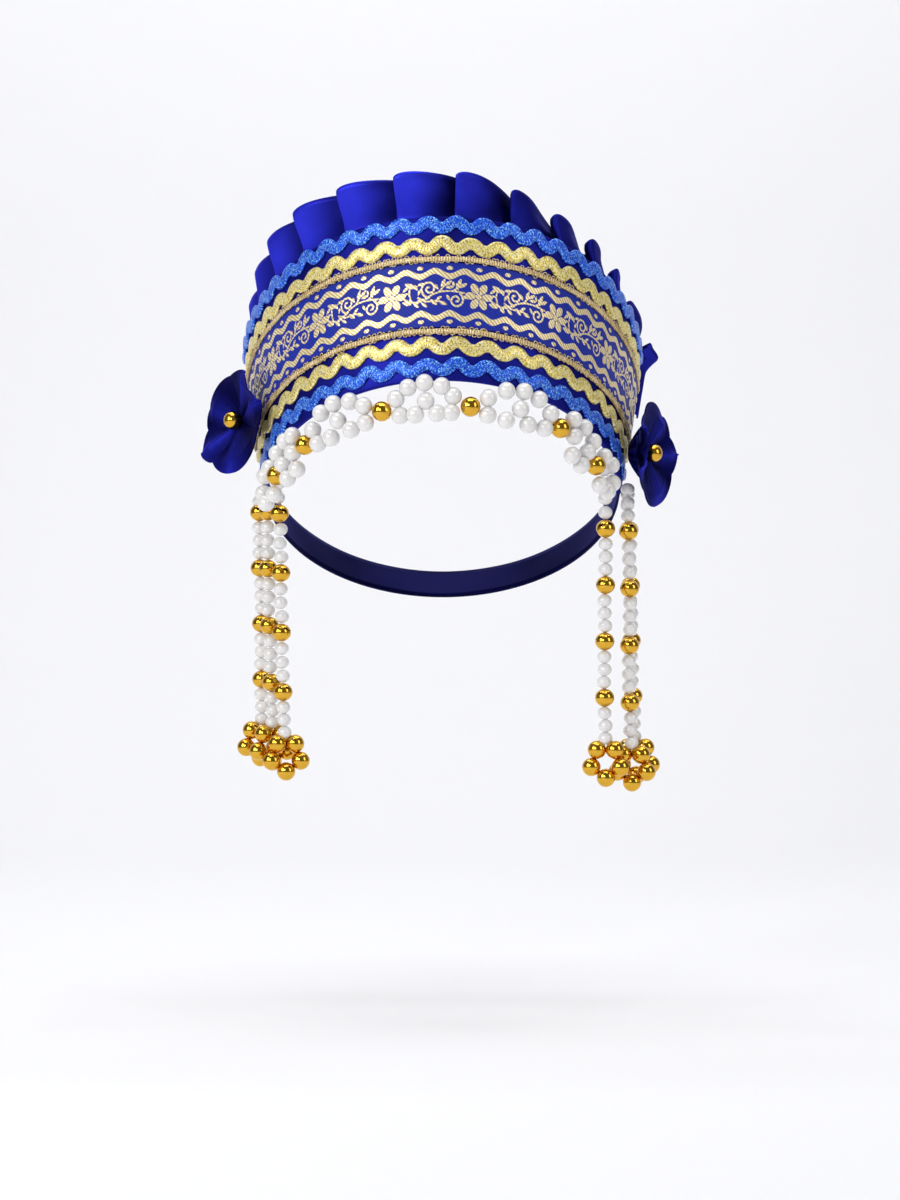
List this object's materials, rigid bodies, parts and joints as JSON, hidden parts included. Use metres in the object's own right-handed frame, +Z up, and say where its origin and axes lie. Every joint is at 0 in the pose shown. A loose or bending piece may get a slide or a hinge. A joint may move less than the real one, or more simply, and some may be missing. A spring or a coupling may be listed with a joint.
{
  "type": "kokoshnik headdress",
  "caption": "Folk-dress headdress: stiff satin band with pleated ruffle, woven ribbon and braids, satin flowers at the temples, a beaded net on the brow and hanging bead strings",
  "frame": {"origin": "centre of the oval rim that sits on the head, which rises to the brow and falls to the nape", "axes": "+Z up as worn, -Y the way the wearer looks, +X to the right as seen from the front; millimetres in the source, metres in the record"},
  "size_m": [0.2159, 0.195, 0.2671],
  "materials": {
    "satin": "royal blue satin, soft sheen",
    "dark_satin": "dark blue satin band",
    "jacquard": "blue ribbon with a raised pale gold woven scroll",
    "gold_gimp": "looped metallic gold cord",
    "gold_braid": "woven metallic gold rick-rack",
    "blue_braid": "woven rick-rack with a blue metallic glitter",
    "gold_bead": "metallised, polished",
    "pearl": "pearl lustre"
  },
  "bodies": {
    "root": {"front_panel": "satin", "pleated_ruffle": "satin", "left_flower": "satin", "right_flower": "satin", "back_band": "dark_satin", "jacquard_ribbon": "jacquard", "upper_gimp": "gold_gimp", "lower_gimp": "gold_gimp", "upper_gold_rickrack": "gold_braid", "lower_gold_rickrack": "gold_braid", "upper_blue_rickrack": "blue_braid", "lower_blue_rickrack": "blue_braid", "left_flower_bead": "gold_bead", "right_flower_bead": "gold_bead", "net_gold_1": "gold_bead", "net_gold_2": "gold_bead", "net_gold_3": "gold_bead", "net_gold_4": "gold_bead", "net_gold_5": "gold_bead", "net_gold_6": "gold_bead", "net_section_1": "pearl", "net_section_2": "pearl", "net_section_3": "pearl", "net_section_4": "pearl", "net_section_5": "pearl", "net_end_left": "pearl", "net_end_right": "pearl", "left_strand_1": "pearl", "left_strand_1_loop": "gold_bead", "left_strand_2": "pearl", "left_strand_2_loop": "gold_bead", "left_strand_3": "pearl", "left_strand_3_loop": "gold_bead", "right_strand_1": "pearl", "right_strand_1_loop": "gold_bead", "right_strand_2": "pearl", "right_strand_2_loop": "gold_bead", "right_strand_3": "pearl", "right_strand_3_loop": "gold_bead"}
  },
  "joints": []
}
